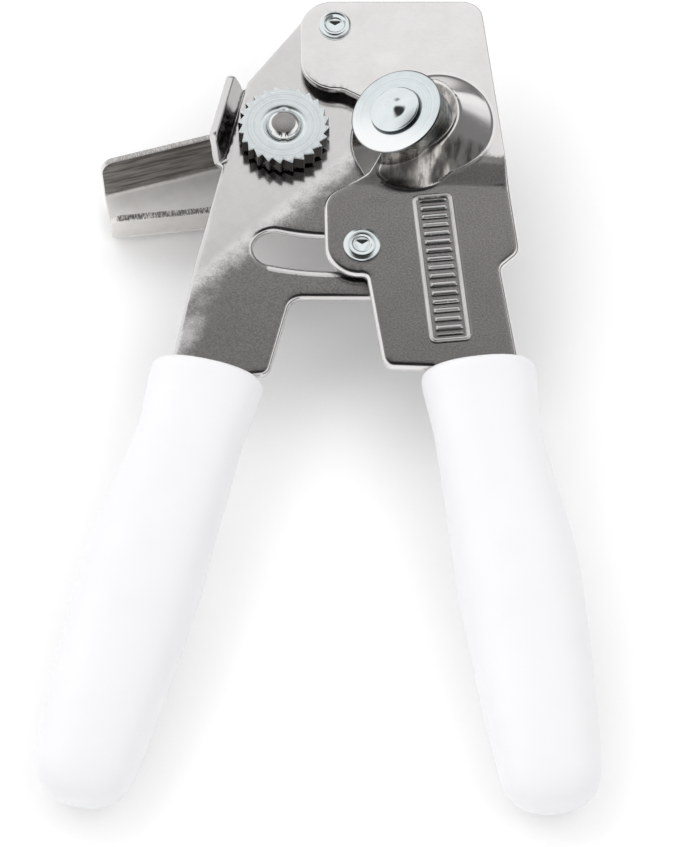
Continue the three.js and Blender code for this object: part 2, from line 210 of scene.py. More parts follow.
def make_object(name, points, faces, place=Matrix.Identity(4), finish=None):
    """A smooth mesh from points in the frame of place, with its spot and finish attributes."""
    points = np.asarray(points, float)
    mesh = bpy.data.meshes.new(name)
    world = np.array(TOOL @ place)
    mesh.from_pydata((points @ world[:3, :3].T + world[:3, 3]).tolist(), [], faces)
    spot = mesh.attributes.new("spot", "FLOAT_VECTOR", "POINT")
    spot.data.foreach_set("vector", points.astype(np.float32).ravel())
    if finish is not None:
        levels = mesh.attributes.new("finish", "FLOAT", "POINT")
        levels.data.foreach_set("value", np.asarray(finish, np.float32))
    mesh.shade_smooth()
    obj = bpy.data.objects.new(name, mesh)
    bpy.context.scene.collection.objects.link(obj)
    normals = obj.modifiers.new("weighted normals", "WEIGHTED_NORMAL")
    normals.weight = 80
    return obj


def formed_sheet(name, loops, fill, shape, roll, thickness=SHEET, finish=None, place=Matrix.Identity(4)):
    """A blank of sheet metal with bright rolled edges.

    loops are its outline and its holes, and fill the points between them. shape(x, y, depth) forms
    the blank from its front face down, roll(i, x, y) gives the width of the rolled edge along
    loop i, and finish(x, y, depth) the finish level away from the rolled edges.
    """
    loops = [loops[0]] + [hole[::-1] for hole in loops[1:]]
    normals = [loop_normals(loop) for loop in loops]
    widths = [roll(i, loop[:, 0], loop[:, 1]) * np.ones(len(loop)) for i, loop in enumerate(loops)]
    insets = [loop - width[:, None] * normal for loop, width, normal in zip(loops, widths, normals)]
    fill = fill[inside(fill, insets[0]) & away(fill, insets[0], 0.25)]
    for inset in insets[1:]:
        fill = fill[~inside(fill, inset) & away(fill, inset, 0.2)]
    flat = np.vstack(insets + [fill])
    borders, start = [], 0
    for inset in insets:
        count = len(inset)
        borders += [(start + k, start + (k + 1) % count) for k in range(count)]
        start += count
    made = delaunay_2d_cdt([Vector(p) for p in flat], borders, [], 0, 1e-7)
    source = [origin[0] for origin in made[3]]
    triangles = np.array([[source[v] for v in face] for face in made[2]])
    middles = flat[triangles].mean(axis=1)
    kept = inside(middles, insets[0])
    for inset in insets[1:]:
        kept &= ~inside(middles, inset)
    triangles = triangles[kept]
    a, b, c = flat[triangles[:, 0]], flat[triangles[:, 1]], flat[triangles[:, 2]]
    area = (b - a)[:, 0] * (c - a)[:, 1] - (b - a)[:, 1] * (c - a)[:, 0]
    triangles[area < 0] = triangles[area < 0][:, ::-1]

    count = len(flat)
    blank = [np.column_stack((flat, np.zeros(count))), np.column_stack((flat, np.full(count, thickness)))]
    rolled = [np.zeros(2 * count)]
    faces = triangles.tolist() + (triangles[:, ::-1] + count).tolist()
    total, start = 2 * count, 0
    for inset, normal, width in zip(insets, normals, widths):
        size = len(inset)
        rings = [np.arange(start, start + size)]
        drop = np.minimum(0.8 * width, thickness * 0.6)
        burr = np.minimum(0.25, width * 0.5)
        turns = np.radians((15, 30, 45, 60, 75, 90))
        rim = [(width * math.sin(t), drop * (1 - math.cos(t))) for t in turns]
        rim += [
            (width - burr * (1 - math.cos(t)), thickness - burr * (1 - math.sin(t)))
            for t in (0, *turns[1::2])
        ]
        for offset, depth in rim:
            blank.append(np.column_stack((inset + offset[:, None] * normal, depth)))
            rolled.append(np.full(size, float(len(rings) > 1)))
            rings.append(np.arange(total, total + size))
            total += size
        rings.append(np.arange(start, start + size) + count)
        for upper, lower in zip(rings, rings[1:]):
            quads = np.column_stack((upper, lower, np.roll(lower, -1), np.roll(upper, -1)))
            faces += quads.tolist()
        start += size
    x, y, depth = np.vstack(blank).T
    levels = None
    if finish is not None:
        levels = np.where(np.hstack(rolled) > 0, BRIGHT, finish(x, y, depth))
    return make_object(name, shape(x, y, depth), faces, place, levels)


def lathe(name, corners, place, closed, dent):
    """A turned piece about Z from (radius, height, fillet) corners, anticlockwise.

    A closed profile leaves a bore, and dent(x, y, z), if there is one, gives the depth of pressed marks.
    """
    sides = 96
    profile = rounded(corners, 15.0, closed)
    angles = np.arange(sides) * 2 * math.pi / sides
    points, rings = [], []
    for radius, height in profile:
        if radius < 1e-6:
            rings.append([len(points)] * sides)
            points.append((0, 0, height))
            continue
        rings.append(list(range(len(points), len(points) + sides)))
        points += [(radius * math.cos(a), radius * math.sin(a), height) for a in angles]
    pairs = list(zip(rings, rings[1:]))
    if closed:
        pairs.append((rings[-1], rings[0]))
    faces = []
    for low, high in pairs:
        for k in range(sides):
            n = (k + 1) % sides
            faces.append(list(dict.fromkeys((low[k], low[n], high[n], high[k]))))
    points = np.array(points, float)
    if dent:
        points[:, 2] -= dent(*points.T)
    return make_object(name, points, faces, place)


def fold(across, depth, start, radius, angle):
    """Bends what lies past start upwards on an inner radius: gives distance across and height."""
    past = np.maximum(across - start, 0)
    turn = np.minimum(past / radius, angle)
    straight = np.maximum(past - radius * angle, 0)
    reach = radius + depth
    out = start + reach * np.sin(turn) + straight * math.cos(angle)
    height = radius - reach * np.cos(turn) + straight * math.sin(angle)
    return np.where(across > start, out, across), np.where(across > start, height, -depth)


# ------------------------------------------------------------------ material helpers
class Nodes:
    """Short calls for building one material's node tree."""

    def __init__(self, name):
        self.material = bpy.data.materials.new(name)
        self.material.use_nodes = True
        self.tree = self.material.node_tree
        self.shader = self.tree.nodes["Principled BSDF"]

    def node(self, kind, inputs=(), **settings):
        node = self.tree.nodes.new("ShaderNode" + kind)
        for key, value in settings.items():
            setattr(node, key, value)
        for socket, value in dict(inputs).items():
            if isinstance(value, bpy.types.NodeSocket):
                self.tree.links.new(value, node.inputs[socket])
            else:
                node.inputs[socket].default_value = value
        return node

    def spot(self):
        return self.node("Attribute", attribute_name="spot").outputs["Vector"]

    def finish(self):
        return self.node("Attribute", attribute_name="finish").outputs["Fac"]

    def cylindrical(self, spot):
        """The flat part of a place, its distance from the Z axis and its height."""
        parts = self.node("SeparateXYZ", {"Vector": spot}).outputs
        flat = self.node("CombineXYZ", {"X": parts["X"], "Y": parts["Y"]}).outputs["Vector"]
        radius = self.node("VectorMath", {0: flat}, operation="LENGTH").outputs["Value"]
        return flat, radius, parts["Z"]

    def scaled(self, vector, scale):
        return self.node("Mapping", {"Vector": vector, "Scale": scale}).outputs["Vector"]

    def noise(self, vector, scale, detail=4.0, roughness=0.6):
        inputs = {"Vector": vector, "Scale": scale, "Detail": detail, "Roughness": roughness}
        return self.node("TexNoise", inputs).outputs["Fac"]

    def ramp(self, value, low, high, to_low, to_high):
        inputs = {"Value": value, "From Min": low, "From Max": high, "To Min": to_low, "To Max": to_high}
        return self.node("MapRange", inputs, interpolation_type="SMOOTHSTEP").outputs["Result"]

    def maths(self, operation, a, b=0.0):
        return self.node("Math", {0: a, 1: b}, operation=operation).outputs["Value"]

    def mix_colour(self, share, a, b):
        node = self.node("Mix", data_type="RGBA")
        for socket, value in ((node.inputs[0], share), (node.inputs[6], a), (node.inputs[7], b)):
            if isinstance(value, bpy.types.NodeSocket):
                self.tree.links.new(value, socket)
            else:
                socket.default_value = value
        return node.outputs[2]

    def bump(self, height, strength, distance, normal=None):
        inputs = {"Height": height, "Strength": strength, "Distance": distance}
        if normal is not None:
            inputs["Normal"] = normal
        return self.node("Bump", inputs).outputs["Normal"]

    def set(self, **inputs):
        for key, value in inputs.items():
            socket = self.shader.inputs[key.replace("_", " ")]
            if isinstance(value, bpy.types.NodeSocket):
                self.tree.links.new(value, socket)
            else:
                socket.default_value = value


def darker(colour, share):
    return [channel * share for channel in colour[:3]] + [1]


def lever_metal(name, light):
    """Plated sheet with the lever's finish levels, as the head of this file lists them."""
    # dark: the painted dark reflection that the plating takes past the step and the joggle.
    dark = (0.26, 0.25, 0.245, 1)
    m = Nodes(name)
    spot = m.spot()
    zone = m.finish()
    wander = m.ramp(m.noise(spot, 0.35, 3.0, 0.6), 0.3, 0.7, -0.9, 0.9)
    speck = m.ramp(m.noise(spot, 2.4, 3.0, 0.7), 0.3, 0.7, -0.7, 0.7)
    edge = m.maths("ADD", zone, m.maths("ADD", wander, speck))
    # Share of the painted dark reflection; it also makes the plating grainier and rougher.
    grain_and_painted_dark = m.maths("MULTIPLY", m.ramp(edge, -2.4, 4.2, 0.0, 1.0), m.ramp(zone, -3.4, -2.6, 0.0, 1.0))
    grain = m.noise(spot, 2.6, 5.0, 0.7)
    fine = m.noise(m.scaled(spot, (0.5, 6.0, 1.0)), 1.6, 3.0)
    cloud = m.noise(spot, 0.12, 3.0)
    shade = m.mix_colour(grain_and_painted_dark, light, dark)
    speckle = m.maths("MULTIPLY", m.ramp(grain, 0.35, 0.65, -0.16, 0.14), m.maths("ADD", grain_and_painted_dark, 0.1))
    tint = m.maths("ADD", speckle, m.ramp(cloud, 0.3, 0.7, 0.97, 1.03))
    frost = m.ramp(zone, -21.0, -17.0, 1.0, 0.0)
    # Painted reflection streaks on the boss's walls: dark and light bands mixed into the colour.
    painted_boss_reflection = m.maths("SUBTRACT", m.ramp(zone, -11.0, -6.0, 1.0, 0.0), frost)
    streak = m.noise(m.scaled(spot, (1.0, 0.3, 0.3)), 0.6, 4.0, 0.6)
    streaked = m.ramp(streak, 0.36, 0.62, 0.0, 1.0)
    streaked_reflection_colour = m.mix_colour(streaked, (0.12, 0.11, 0.10, 1), (0.60, 0.57, 0.54, 1))
    shade = m.mix_colour(m.maths("MULTIPLY", painted_boss_reflection, 0.85), shade, streaked_reflection_colour)
    # lobe: a painted near-black reflection on the boss's lower lobe.
    lobe = m.maths("SUBTRACT", m.ramp(zone, -16.0, -12.5, 0.62, 0.0), frost)
    shade = m.mix_colour(m.maths("MAXIMUM", lobe, 0.0), shade, (0.05, 0.045, 0.04, 1))
    colour = m.node("VectorMath", {0: shade, 3: tint}, operation="SCALE").outputs["Vector"]
    worn = m.maths("ADD", m.maths("MULTIPLY", grain_and_painted_dark, 0.07), m.ramp(zone, 20.0, 30.0, 0.0, 0.35))
    worn = m.maths("ADD", worn, m.maths("MULTIPLY", frost, 0.22))
    roughness = m.maths("ADD", m.ramp(fine, 0.3, 0.7, 0.12, 0.19), worn)
    rough_grain = m.maths("MULTIPLY", grain, m.maths("ADD", grain_and_painted_dark, 0.12))
    height = m.maths("ADD", rough_grain, m.maths("MULTIPLY", fine, 0.12))
    m.set(Base_Color=colour, Metallic=1.0, Roughness=roughness, Normal=m.bump(height, 0.3, 0.00004))
    return m.material


def crank_metal():
    """Satin plated sheet with painted shade where finish is 1, and coarse ticks along its sheared lips."""
    lip_low, lip_high = -10.0, -9.6
    web_low, web_high = -18.6, -17.2
    m = Nodes("crank_metal")
    spot = m.spot()
    parts = m.node("SeparateXYZ", {"Vector": spot}).outputs
    lip = m.ramp(parts["Z"], lip_low, lip_high, 0.0, 1.0)
    ticks = m.noise(m.scaled(spot, (3.4, 1.2, 0.5)), 1.0, 2.0, 0.8)
    share = m.ramp(parts["Y"], -1.0, 1.0, 0.95, 0.4)
    cut = m.maths("MULTIPLY", m.maths("MULTIPLY", m.ramp(ticks, 0.42, 0.52, 0.0, 1.0), share), lip)
    above_web = m.ramp(parts["Z"], web_low, web_high, 0.0, 1.0)
    wall = m.maths("MULTIPLY", above_web, m.maths("SUBTRACT", 1.0, lip))
    # inner: share of the painted shade on the upper wall's inner face, in streaky dark tones.
    inner = m.ramp(m.finish(), 0.0, 1.0, 0.0, 1.0)
    rolled = m.noise(m.scaled(spot, (0.08, 1.0, 1.6)), 0.8, 4.0)
    shaded = m.mix_colour(
        m.ramp(rolled, 0.35, 0.65, 0.0, 1.0), (0.15, 0.142, 0.135, 1), (0.36, 0.345, 0.33, 1)
    )
    marks = m.noise(m.scaled(spot, (0.35, 4.0, 1.0)), 1.2, 4.0)
    cloud = m.noise(spot, 0.2, 3.0)
    plated = m.mix_colour(m.ramp(cloud, 0.3, 0.7, 0.0, 1.0), (0.84, 0.82, 0.80, 1), (0.76, 0.74, 0.72, 1))
    tone = m.mix_colour(cut, m.mix_colour(inner, plated, shaded), (0.22, 0.21, 0.2, 1))
    height = m.maths("ADD", m.maths("MULTIPLY", marks, 0.3), m.maths("MULTIPLY", cut, -1.0))
    satin = m.maths("SUBTRACT", m.ramp(marks, 0.3, 0.7, 0.38, 0.46), m.maths("MULTIPLY", wall, 0.2))
    roughness = m.maths("ADD", satin, m.maths("MULTIPLY", lip, 0.15))
    metallic = m.ramp(parts["Z"], web_low, web_high, 0.15, 1.0)
    m.set(Base_Color=tone, Metallic=metallic, Roughness=roughness)
    m.set(Normal=m.bump(height, 0.25, 0.00005))
    return m.material


def rivet_metal():
    """Smooth bright zinc plate with faint handling marks."""
    colour, roughness = (0.80, 0.85, 0.86, 1), 0.15
    m = Nodes("bright_zinc_metal")
    spot = m.spot()
    marks = m.noise(m.scaled(spot, (1.0, 4.0, 1.0)), 1.2, 4.0)
    cloud = m.noise(spot, 0.25, 3.0)
    tone = m.mix_colour(m.ramp(cloud, 0.3, 0.7, 0.0, 1.0), colour, darker(colour, 0.93))
    worn = m.ramp(marks, 0.3, 0.7, roughness * 0.8, roughness * 1.3)
    m.set(Base_Color=tone, Metallic=1.0, Roughness=worn)
    m.set(Normal=m.bump(marks, 0.06, 0.00003))
    return m.material


def turned_metal():
    """Zinc-plated steel with concentric tool marks about the piece's own Z axis."""
    colour, roughness = (0.78, 0.83, 0.85, 1), 0.26
    m = Nodes("zinc_metal")
    spot = m.spot()
    _, radius, height = m.cylindrical(spot)
    along = m.node("CombineXYZ", {"X": radius, "Y": m.maths("MULTIPLY", height, 0.8)}).outputs["Vector"]
    rings = m.noise(along, 3.0, 3.0, 0.65)
    mixed = m.maths("ADD", rings, m.maths("MULTIPLY", m.noise(spot, 0.35, 3.0), 0.4))
    tone = m.mix_colour(m.ramp(mixed, 0.5, 0.9, 0.0, 1.0), colour, darker(colour, 0.86))
    worn = m.ramp(rings, 0.3, 0.7, roughness * 0.8, roughness * 1.25)
    m.set(Base_Color=tone, Metallic=1.0, Roughness=worn)
    m.set(Normal=m.bump(rings, 0.35, 0.00006))
    return m.material


def cutter_metal():
    """Turned zinc plate with a painted highlight to one side, a dark outer rim, and a painted shadow round
    the rivet's head.
    """
    m = Nodes("cutter_metal")
    spot = m.spot()
    flat, radius, _ = m.cylindrical(spot)
    aside = m.node("VectorMath", {0: flat, 1: (0.14, -0.16, 0)}, operation="DISTANCE").outputs["Value"]
    rings = m.noise(m.node("CombineXYZ", {"X": radius}).outputs["Vector"], 2.4, 4.0, 0.7)
    cloud = m.noise(spot, 0.3, 3.0)
    mixed = m.ramp(m.maths("ADD", rings, m.maths("MULTIPLY", cloud, 0.5)), 0.5, 1.0, 0.0, 1.0)
    tone = m.mix_colour(mixed, (0.76, 0.82, 0.84, 1), (0.64, 0.69, 0.71, 1))
    # Painted highlight: the disc turns lighter towards one side.
    painted_highlight_side = m.node("VectorMath", {0: spot, 1: (-0.45, -0.89, 0)}, operation="DOT_PRODUCT").outputs["Value"]
    tone = m.mix_colour(m.ramp(painted_highlight_side, -1.0, 7.5, 0.0, 0.9), tone, (0.98, 0.99, 0.99, 1))
    # A dark outer rim, and a painted shadow round the rivet's head, centred a little aside.
    dark = m.maths("MAXIMUM", m.ramp(radius, 9.5, 9.62, 0.0, 0.85), m.ramp(aside, 5.42, 5.62, 0.85, 0.0))
    tone = m.mix_colour(dark, tone, (0.10, 0.105, 0.11, 1))
    m.set(Base_Color=tone, Metallic=1.0, Roughness=m.ramp(rings, 0.3, 0.7, 0.16, 0.26))
    m.set(Normal=m.bump(rings, 0.25, 0.00006))
    return m.material


def banded_metal(name, ring_scale, low, high, inner, face, flank, roughness):
    """Turned metal that changes from flank to face between two heights of its own Z axis.

    It has the colour of the face inside the radius inner too.
    """
    m = Nodes(name)
    spot = m.spot()
    _, radius, height = m.cylindrical(spot)
    rings = m.noise(m.node("CombineXYZ", {"X": radius}).outputs["Vector"], ring_scale, 3.0, 0.65)
    mixed = m.maths("ADD", rings, m.maths("MULTIPLY", m.noise(spot, 0.5, 3.0), 0.4))
    turned = m.mix_colour(m.ramp(mixed, 0.5, 0.9, 0.0, 1.0), face, darker(face, 0.84))
    core = m.ramp(radius, inner - 0.2, inner, 1.0, 0.0)
    band = m.maths("MAXIMUM", m.ramp(height, low, high, 0.0, 1.0), core)
    tone = m.mix_colour(band, flank, turned)
    worn = m.ramp(rings, 0.3, 0.7, roughness * 0.8, roughness * 1.25)
    m.set(Base_Color=tone, Metallic=1.0, Roughness=worn)
    m.set(Normal=m.bump(rings, 0.35, 0.00006))
    return m.material


def grip_vinyl():
    """Smooth satin white vinyl with a very fine moulded texture."""
    m = Nodes("white_vinyl")
    spot = m.spot()
    cloud = m.noise(spot, 0.05, 2.0)
    skin = m.noise(spot, 5.0, 3.0)
    mixed = m.ramp(cloud, 0.35, 0.65, 0.0, 1.0)
    tone = m.mix_colour(mixed, (0.872, 0.868, 0.886, 1), (0.89, 0.887, 0.90, 1))
    m.set(Base_Color=tone, Roughness=m.ramp(skin, 0.3, 0.7, 0.38, 0.5), Normal=m.bump(skin, 0.12, 0.00004))
    m.set(IOR=1.48, Subsurface_Weight=0.1, Subsurface_Radius=(0.003, 0.003, 0.003), Subsurface_Scale=0.5)
    return m.material


# The rear lever's copy is painted a shade darker than the front lever's, standing in for shade on the lower
# plate.
REAR_METAL = lever_metal("rear_lever_metal", (0.70, 0.69, 0.685, 1))
FRONT_METAL = lever_metal("front_lever_metal", (0.80, 0.785, 0.78, 1))
CRANK_METAL = crank_metal()
BRIGHT_ZINC = rivet_metal()
ZINC = turned_metal()
CUTTER_STEEL = cutter_metal()
# flank: a painted dark reflection on the sides of the teeth.
TOOTHED = banded_metal(
    "toothed_wheel_metal", ring_scale=3.0, low=4.1, high=4.36, inner=7.9,
    face=(0.86, 0.915, 0.93, 1), flank=(0.085, 0.08, 0.076, 1), roughness=0.24,
)
# The end face is painted darker and the chamfer light, standing in for their reflections on one steel.
SHAFT = banded_metal(
    "shaft_metal", ring_scale=0.9, low=5.06, high=5.09, inner=0.0,
    face=(0.36, 0.345, 0.34, 1), flank=(0.84, 0.84, 0.84, 1), roughness=0.14,
)
VINYL = grip_vinyl()


def finish_piece(obj, body, material, slot, *nodes):
    """Gives a piece its material and says which body it rides on and which nodes it replaces."""
    obj.data.materials.append(material)
    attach(obj, body)
    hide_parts(*nodes)


# ------------------------------------------------------------------ levers
def arc_slot():
    """The slot's outline, anticlockwise."""
    radius, half = SLOT["radius"], SLOT["half"]
    low, high = math.radians(SLOT["from"] - 90), math.radians(SLOT["to"] - 90)
    sweep = np.linspace(0, 1, 28)[:, None]
    cap = np.linspace(0, math.pi, 20)[1:-1, None]

    def ring(r, angle, cx=0.0, cy=0.0):
        return np.hstack((cx + r * np.cos(angle), cy + r * np.sin(angle)))

    outer = ring(radius + half, low + (high - low) * sweep)
    inner = ring(radius - half, high + (low - high) * sweep)
    right = ring(half, high + cap, radius * math.cos(high), radius * math.sin(high))
    left = ring(half, low + math.pi + cap, radius * math.cos(low), radius * math.sin(low))
    return np.vstack((outer, right, inner, left))


# ends of the can guide's fold on the rear lever's left edge
TAB_TOP = np.array((-18.4, -12.5))
TAB_BOTTOM = np.array((-23.1, -32.7))


def rear_blank():
    """The rear lever's outline with the can guide's tab unfolded to the left."""
    along = (TAB_BOTTOM - TAB_TOP) / np.linalg.norm(TAB_BOTTOM - TAB_TOP)
    outward = np.array((along[1], -along[0]))
    length = np.linalg.norm(TAB_BOTTOM - TAB_TOP)

    def tab(distance, out, radius):
        x, y = TAB_TOP + along * distance + outward * out
        return (x, y, radius)

    corners = REAR_OUTLINE[:1] + [
        (-18.2, -11.7, 2), tab(1.2, 0, 1.0), tab(2.6, 7.2, 1.6), tab(length - 2.4, 7.2, 1.8),
        tab(length - 0.4, 0, 1.2),
    ] + REAR_OUTLINE[2:]
    return corners, along, outward, length


def past_joggle(x, y):
    """Distance past the rear lever's diagonal joggle, towards the slot's lower side."""
    turn = math.radians(43.5)
    return (x + 16.3) * math.sin(turn) - (y + 49.8) * math.cos(turn)


def below_slot(x, y):
    """Distance past the slot's lower edge."""
    return np.hypot(x, y) - SLOT["radius"] - SLOT["half"]


def rear_zone(x, y, depth):
    """Painted dark reflection past the joggle, lifted near the left edge, with a painted highlight along
    the slot's lower rim.
    """
    past = past_joggle(x, y)
    # worn here only lifts the painted dark reflection near the left edge.
    worn = 9 * smoothstep(-x - 0.12 * (y + 60), 20, 32) * smoothstep(past, 2, 8)
    # rim: a painted highlight band along the slot's lower edge.
    rim = smoothstep(-np.abs(below_slot(x, y) - 0.85), -1.0, -0.6)
    rim *= smoothstep(x, -14.5, -11) * (x < 9) * (y < -40)
    return np.clip(past - worn - 50 * rim, BRIGHT, 40)


def rows_below_slot():
    """Close rows of points that follow the slot's lower edge."""
    angles = np.radians(np.arange(-17, 10, 0.7))
    radii = SLOT["radius"] + SLOT["half"] + np.arange(0.3, 2, 0.27)
    return np.vstack([np.column_stack((r * np.sin(angles), -r * np.cos(angles))) for r in radii])


def rear_lever():
    corners, along, outward, length = rear_blank()
    outline = resample(rounded(corners), 1.6)
    holes = [resample(arc_slot(), 1.2), circle(0, 0, 2.6), circle(*FEED, 5.3)]
    fill = spaced(0.24, [
        grid(-48, 16, -90, 9, 1.3),
        grid(-48, -14, -160, -90, 5),
        grid(-31, -16, -36, -9, 0.55),
        rows_below_slot(),
    ])

    def shape(x, y, depth):
        across = (x - TAB_TOP[0]) * outward[0] + (y - TAB_TOP[1]) * outward[1]
        down = (x - TAB_TOP[0]) * along[0] + (y - TAB_TOP[1]) * along[1]
        ends = np.minimum(down - 0.2, length + 0.2 - down)
        start = 0.25 - 1.0 * smoothstep(ends, 0.0, 2.2)
        near = (down > -2) & (down < length + 2)
        moved, height = fold(np.where(near, across, -9), depth, start, 1.0, math.radians(77))
        shift = np.where(near & (across > start), moved - across, 0)
        lift = np.where(near & (across > start), height, -depth)
        lift = lift + 0.25 * smoothstep(past_joggle(x, y), -1.6, 0.9)
        return np.column_stack((x + shift * outward[0], y + shift * outward[1], lift))

    def roll(i, x, y):
        return (0.5 + 0.55 * smoothstep(-y, 40, 50), 1.15, 0.4, 0.4)[i]

    return formed_sheet("rear_lever_sheet", [outline, *holes], fill, shape, roll, finish=rear_zone)


PANEL_CENTRE, PANEL_LEAN = (21.4, -58.2), math.radians(5.5)


def panel_grid():
    """Points across the relief, in line with its ribs."""
    across, along = grid(-4.9, 4.9, -18, 18, 0.25).T
    c, s = math.cos(PANEL_LEAN), math.sin(PANEL_LEAN)
    x, y = PANEL_CENTRE
    return np.column_stack((x + across * c - along * s, y + across * s + along * c))


def panel_relief(x, y):
    """A raised border with plain cross ribs on the front lever's handle."""
    half_width, half_length, border, rib_pitch, corner = 4.3, 17.4, 0.6, 2.0, 1.6
    dx, dy = x - PANEL_CENTRE[0], y - PANEL_CENTRE[1]
    across = dx * math.cos(PANEL_LEAN) + dy * math.sin(PANEL_LEAN)
    along = -dx * math.sin(PANEL_LEAN) + dy * math.cos(PANEL_LEAN)
    qx = np.abs(across) - half_width + corner
    qy = np.abs(along) - half_length + corner
    edge = np.hypot(np.maximum(qx, 0), np.maximum(qy, 0)) + np.minimum(np.maximum(qx, qy), 0) - corner
    frame_line = 1 - smoothstep(np.abs(edge + border), border * 0.35, border * 0.85)
    phase = np.abs((along / rib_pitch + 0.5) % 1 - 0.5) * rib_pitch
    rib = (1 - smoothstep(phase, 0.25, 0.6)) * (1 - smoothstep(np.abs(across), 2.3, 2.7))
    rib *= np.abs(along) < half_length - 1.6
    return 0.32 * np.maximum(frame_line, rib)


PAD_CENTRE = (16.73, -25.0)
PAD_AXES = (8.44, 8.5)


def pad_level(x):
    """Height of the cutter's tilted pad."""
    return PAD[1] + (x - PAD[0]) * math.tan(CUTTER_TILT)


def boss_wall(x, y, base, centre, axes):
    """Height of a ruled wall from an ellipse on the plate up to the rim of the cutter's tilted pad."""
    steps = np.linspace(-0.25, 1.5, 71)
    share = np.full(x.shape, steps[0])
    before = None
    for step, last in zip(steps, [steps[0], *steps]):
        cx, cy, a, b = (f + (t - f) * step for f, t in zip((*centre, *axes), (*PAD_CENTRE, *PAD_AXES)))
        out = np.hypot((x - cx) / a, (y - cy) / b) - 1
        if before is not None:
            left = (before < 0) & (out >= 0)
            share = np.where(left, last + (step - last) * before / (before - out + 1e-12), share)
        before = out
    share = np.where(before < 0, steps[-1], share)
    cx, a = (f + (t - f) * share for f, t in ((centre[0], PAD_CENTRE[0]), (axes[0], PAD_AXES[0])))
    top = pad_level(PAD_CENTRE[0] + PAD_AXES[0] * np.clip((x - cx) / a, -1, 1))
    return base + (top - base) * share


def front_base(x, y):
    """Height of the front lever's plate, with the step between head and handle."""
    bend = (y - STEP_Y) * math.cos(LEAN) + (x - 18) * math.sin(LEAN) * 0.4
    return HANDLE_FRONT + (HEAD_FRONT - HANDLE_FRONT) * smoothstep(bend, -4.6, 0.6)


def front_level(x, y):
    """Height of its face, with the relief and the boss: a round lobe and a larger ellipse under the pad."""
    base = front_base(x, y)
    level = base + panel_relief(x, y)
    near = (x > 2) & (x < 36) & (y > -43) & (y < -9)
    px, py, pb = x[near], y[near], base[near]
    main = boss_wall(px, py, pb, (21.4, -24.6), (11.2, 12.1))
    lobe = boss_wall(px, py, pb, (15.2, -28.8), (11.3, 11.3))
    body = smooth_min(-smooth_min(-main, -lobe, 0.4), pad_level(px), 0.8)
    level[near] = -smooth_min(-level[near], -body, 0.4)
    return level


def front_zone(x, y, depth):
    """Painted dark reflection past the step, matt on it, painted reflection streaks on the walls and pad of
    the boss with a painted near-black reflection on its lobe, frosted on the relief.
    """
    over = front_level(x, y) - front_base(x, y)
    raised = np.maximum(smoothstep(over, 0.15, 0.5) * (y > -42), smoothstep(over, 0.1, 0.22) * (y < -38))
    wall = np.maximum(smoothstep(-y, 28, 33), smoothstep(-x, -9.5, -7))
    from_pad = np.hypot((x - PAD_CENTRE[0]) / PAD_AXES[0], (y - PAD_CENTRE[1]) / PAD_AXES[1])
    pad = smoothstep(-from_pad, -1, -0.95)
    # The boss's lower lobe, which takes the painted near-black reflection.
    lobe = smoothstep(-x, -18, -15.5) * smoothstep(-y, 33, 35.5)
    painted_boss_reflection = np.maximum(wall + 0.5 * lobe, 0.8 * pad) * (y > -42)
    # plate: the painted dark reflection past the step, its edge slanted right of the boss.
    plate = np.clip(-(y + 31 + 0.9 * np.clip(x - 30, 0, 4)), BRIGHT, 12)
    matt = 30 * np.exp(-(((y + 36.3) / 2.9) ** 4))
    relief = 20 * (y < -40.5) * (np.hypot(x - 15, y + 35) > 6)
    return (plate + matt) * (1 - raised) + (BRIGHT - 8 * painted_boss_reflection - relief) * raised


def front_lever():
    outline = resample(rounded(FRONT_OUTLINE), 1.4)
    holes = [circle(0, 0, 2.6), circle(*GUIDE, 2.9)]
    fill = spaced(0.17, [
        panel_grid(),
        grid(4, 35, -42, -10, 0.31),
        grid(-9, 40, -90, 8, 1.5),
        grid(16, 46, -160, -90, 5),
    ])

    def shape(x, y, depth):
        return np.column_stack((x, y, front_level(x, y) - depth))

    def roll(i, x, y):
        return (0.45 + 0.7 * smoothstep(-y, 31, 38), 0.4, 0.4)[i]

    return formed_sheet("front_lever_sheet", [outline, *holes], fill, shape, roll, finish=front_zone)


finish_piece(rear_lever(), "rear_lever", REAR_METAL, "lever_plate", "rear_lever_plate")
finish_piece(front_lever(), "front_lever", FRONT_METAL, "lever_plate", "front_lever_plate")

# ------------------------------------------------------------------ rivets, washers and wheels
def pit(size, depth):
    """A three-sided staking pit of a size, pressed into the floor of a rivet's dimple."""
    def dent(x, y, z):
        out = np.max([x * math.cos(a) + y * math.sin(a) for a in np.radians((90, 210, 330))], axis=0)
        return depth * np.clip(1 - out / (size * 0.8), 0, 1) * (np.hypot(x, y) < size * 1.02) * (z > 0)
    return dent


def floor_rings(height):
    """Corners across the flat floor of a dimple, close enough to take the pit."""
    return [(1.7 - 0.17 * k, height, 0) for k in range(10)] + [(0, height, 0)]


def staked_dome():
    """Corners of a shallow dome that rises to a small round tip."""
    corners = [(r, 0.95 + 0.55 * (1 - (r / 4.98) ** 2), 0) for r in np.linspace(4.9, 3.0, 10)]
    for r in np.linspace(2.8, 0, 15):
        rise = 1 - (r / 2.9) ** 2
        corners.append((r, 1.3 + 0.2 * rise + 0.65 * rise**2, 0))
    return corners


def shaft_notch(x, y, z):
    """The notch in the lower side of the drive shaft's chamfer."""
    return 0.3 * (np.abs(x) < 0.6) * (y < -2.7) * (z > 4)


